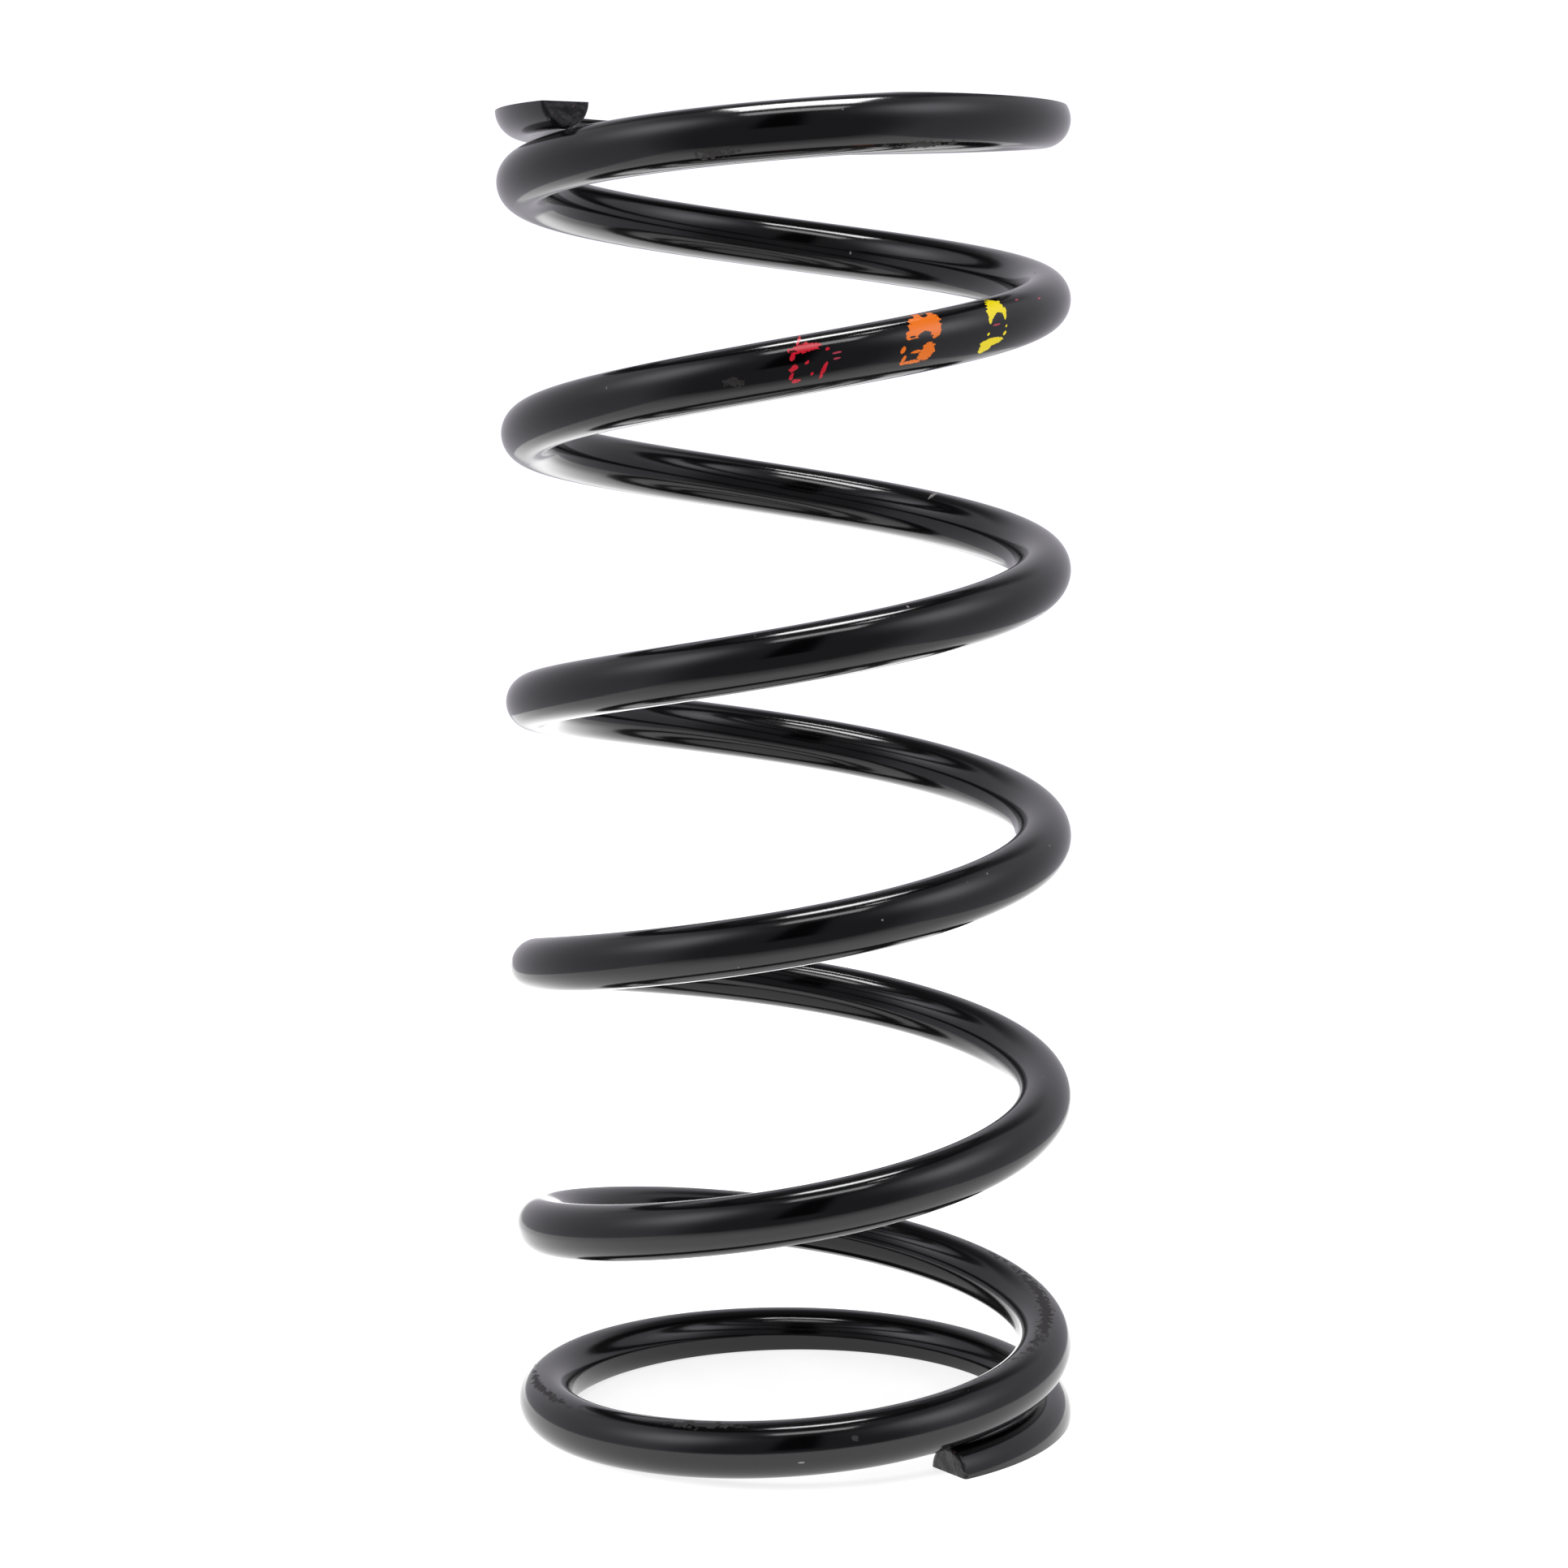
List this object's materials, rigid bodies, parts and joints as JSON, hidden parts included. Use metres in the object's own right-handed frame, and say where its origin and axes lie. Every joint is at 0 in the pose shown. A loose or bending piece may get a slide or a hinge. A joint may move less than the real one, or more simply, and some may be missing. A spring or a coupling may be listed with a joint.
{
  "type": "suspension coil spring",
  "caption": "Right-hand compression coil spring for a car suspension: one round steel bar, closed ends ground flat, gloss black coating with worn paint marks.",
  "frame": {"origin": "on the spring's axis, in the plane of the lower ground seat", "axes": "+Z along the spring's axis from the lower seat to the upper seat; the lower tip of the wire is 53 degrees round from +X towards -Y, and the wire climbs from +X towards +Y"},
  "size_m": [0.1502, 0.1502, 0.351],
  "materials": {
    "powder_coat": "gloss black coating over spring steel"
  },
  "bodies": {
    "lower_end_coil": {"lower_end_coil": "powder_coat"},
    "active_wire_01": {"active_wire_01": "powder_coat"},
    "active_wire_02": {"active_wire_02": "powder_coat"},
    "active_wire_03": {"active_wire_03": "powder_coat"},
    "active_wire_04": {"active_wire_04": "powder_coat"},
    "active_wire_05": {"active_wire_05": "powder_coat"},
    "active_wire_06": {"active_wire_06": "powder_coat"},
    "active_wire_07": {"active_wire_07": "powder_coat"},
    "active_wire_08": {"active_wire_08": "powder_coat"},
    "active_wire_09": {"active_wire_09": "powder_coat"},
    "active_wire_10": {"active_wire_10": "powder_coat"},
    "active_wire_11": {"active_wire_11": "powder_coat"},
    "active_wire_12": {"active_wire_12": "powder_coat"},
    "active_wire_13": {"active_wire_13": "powder_coat"},
    "active_wire_14": {"active_wire_14": "powder_coat"},
    "active_wire_15": {"active_wire_15": "powder_coat"},
    "active_wire_16": {"active_wire_16": "powder_coat"},
    "active_wire_17": {"active_wire_17": "powder_coat"},
    "active_wire_18": {"active_wire_18": "powder_coat"},
    "active_wire_19": {"active_wire_19": "powder_coat"},
    "upper_end_coil": {"upper_end_coil": "powder_coat"}
  },
  "joints": [
    {"name": "twist_01", "type": "hinge", "parent": "lower_end_coil", "child": "active_wire_01", "pos_m": [0.04092, -0.05431, 0.01445], "axis": [-0.7984, -0.6016, -0.0266], "range_deg": [-0.25, 3.06], "stiffness_Nm_per_rad": 3170},
    {"name": "twist_02", "type": "hinge", "parent": "active_wire_01", "child": "active_wire_02", "pos_m": [0.05431, 0.04092, 0.02672], "axis": [0.6013, -0.798, -0.0413], "range_deg": [-0.5, 6.12], "stiffness_Nm_per_rad": 3170},
    {"name": "twist_03", "type": "hinge", "parent": "active_wire_02", "child": "active_wire_03", "pos_m": [-0.04092, 0.05431, 0.04317], "axis": [0.7977, 0.6011, -0.0487], "range_deg": [-0.75, 9.19], "stiffness_Nm_per_rad": 3170},
    {"name": "compression", "type": "hinge", "parent": "active_wire_03", "child": "active_wire_04", "pos_m": [-0.05431, -0.04092, 0.06087], "axis": [-0.6011, 0.7977, -0.0493], "range_deg": [0, 11.25], "stiffness_Nm_per_rad": 3170},
    {"name": "twist_05", "type": "hinge", "parent": "active_wire_04", "child": "active_wire_05", "pos_m": [0.04092, -0.05431, 0.0786], "axis": [-0.7977, -0.6011, -0.0493], "range_deg": [-1, 12.25], "stiffness_Nm_per_rad": 3170},
    {"name": "twist_06", "type": "hinge", "parent": "active_wire_05", "child": "active_wire_06", "pos_m": [0.05431, 0.04092, 0.09634], "axis": [0.6011, -0.7977, -0.0493], "range_deg": [-1, 12.25], "stiffness_Nm_per_rad": 3170},
    {"name": "twist_07", "type": "hinge", "parent": "active_wire_06", "child": "active_wire_07", "pos_m": [-0.04092, 0.05431, 0.11408], "axis": [0.7977, 0.6011, -0.0493], "range_deg": [-1, 12.25], "stiffness_Nm_per_rad": 3170},
    {"name": "twist_08", "type": "hinge", "parent": "active_wire_07", "child": "active_wire_08", "pos_m": [-0.05431, -0.04092, 0.13182], "axis": [-0.6011, 0.7977, -0.0493], "range_deg": [-1, 12.25], "stiffness_Nm_per_rad": 3170},
    {"name": "twist_09", "type": "hinge", "parent": "active_wire_08", "child": "active_wire_09", "pos_m": [0.04092, -0.05431, 0.14955], "axis": [-0.7977, -0.6011, -0.0493], "range_deg": [-1, 12.25], "stiffness_Nm_per_rad": 3170},
    {"name": "twist_10", "type": "hinge", "parent": "active_wire_09", "child": "active_wire_10", "pos_m": [0.05431, 0.04092, 0.16729], "axis": [0.6011, -0.7977, -0.0493], "range_deg": [-1, 12.25], "stiffness_Nm_per_rad": 3170},
    {"name": "twist_11", "type": "hinge", "parent": "active_wire_10", "child": "active_wire_11", "pos_m": [-0.04092, 0.05431, 0.18503], "axis": [0.7977, 0.6011, -0.0493], "range_deg": [-1, 12.25], "stiffness_Nm_per_rad": 3170},
    {"name": "twist_12", "type": "hinge", "parent": "active_wire_11", "child": "active_wire_12", "pos_m": [-0.05431, -0.04092, 0.20277], "axis": [-0.6011, 0.7977, -0.0493], "range_deg": [-1, 12.25], "stiffness_Nm_per_rad": 3170},
    {"name": "twist_13", "type": "hinge", "parent": "active_wire_12", "child": "active_wire_13", "pos_m": [0.04092, -0.05431, 0.2205], "axis": [-0.7977, -0.6011, -0.0493], "range_deg": [-1, 12.25], "stiffness_Nm_per_rad": 3170},
    {"name": "twist_14", "type": "hinge", "parent": "active_wire_13", "child": "active_wire_14", "pos_m": [0.05431, 0.04092, 0.23824], "axis": [0.6011, -0.7977, -0.0493], "range_deg": [-1, 12.25], "stiffness_Nm_per_rad": 3170},
    {"name": "twist_15", "type": "hinge", "parent": "active_wire_14", "child": "active_wire_15", "pos_m": [-0.04092, 0.05431, 0.25598], "axis": [0.7977, 0.6011, -0.0493], "range_deg": [-1, 12.25], "stiffness_Nm_per_rad": 3170},
    {"name": "twist_16", "type": "hinge", "parent": "active_wire_15", "child": "active_wire_16", "pos_m": [-0.05431, -0.04092, 0.27371], "axis": [-0.6011, 0.7977, -0.0493], "range_deg": [-1, 12.25], "stiffness_Nm_per_rad": 3170},
    {"name": "twist_17", "type": "hinge", "parent": "active_wire_16", "child": "active_wire_17", "pos_m": [0.04092, -0.05431, 0.29144], "axis": [-0.7977, -0.6011, -0.0492], "range_deg": [-1, 12.25], "stiffness_Nm_per_rad": 3170},
    {"name": "twist_18", "type": "hinge", "parent": "active_wire_17", "child": "active_wire_18", "pos_m": [0.05431, 0.04092, 0.30877], "axis": [0.6012, -0.7978, -0.0466], "range_deg": [-0.75, 9.19], "stiffness_Nm_per_rad": 3170},
    {"name": "twist_19", "type": "hinge", "parent": "active_wire_18", "child": "active_wire_19", "pos_m": [-0.04092, 0.05431, 0.32432], "axis": [0.798, 0.6013, -0.0394], "range_deg": [-0.5, 6.12], "stiffness_Nm_per_rad": 3170},
    {"name": "twist_20", "type": "hinge", "parent": "active_wire_19", "child": "upper_end_coil", "pos_m": [-0.05431, -0.04092, 0.33655], "axis": [-0.6016, 0.7983, -0.0286], "range_deg": [-0.25, 3.06], "stiffness_Nm_per_rad": 3170}
  ],
  "couplings": [
    {"joint": "twist_01", "follows": "compression", "ratio": 0.25},
    {"joint": "twist_02", "follows": "compression", "ratio": 0.5},
    {"joint": "twist_03", "follows": "compression", "ratio": 0.75},
    {"joint": "twist_05", "follows": "compression", "ratio": 1},
    {"joint": "twist_06", "follows": "compression", "ratio": 1},
    {"joint": "twist_07", "follows": "compression", "ratio": 1},
    {"joint": "twist_08", "follows": "compression", "ratio": 1},
    {"joint": "twist_09", "follows": "compression", "ratio": 1},
    {"joint": "twist_10", "follows": "compression", "ratio": 1},
    {"joint": "twist_11", "follows": "compression", "ratio": 1},
    {"joint": "twist_12", "follows": "compression", "ratio": 1},
    {"joint": "twist_13", "follows": "compression", "ratio": 1},
    {"joint": "twist_14", "follows": "compression", "ratio": 1},
    {"joint": "twist_15", "follows": "compression", "ratio": 1},
    {"joint": "twist_16", "follows": "compression", "ratio": 1},
    {"joint": "twist_17", "follows": "compression", "ratio": 1},
    {"joint": "twist_18", "follows": "compression", "ratio": 0.75},
    {"joint": "twist_19", "follows": "compression", "ratio": 0.5},
    {"joint": "twist_20", "follows": "compression", "ratio": 0.25}
  ]
}
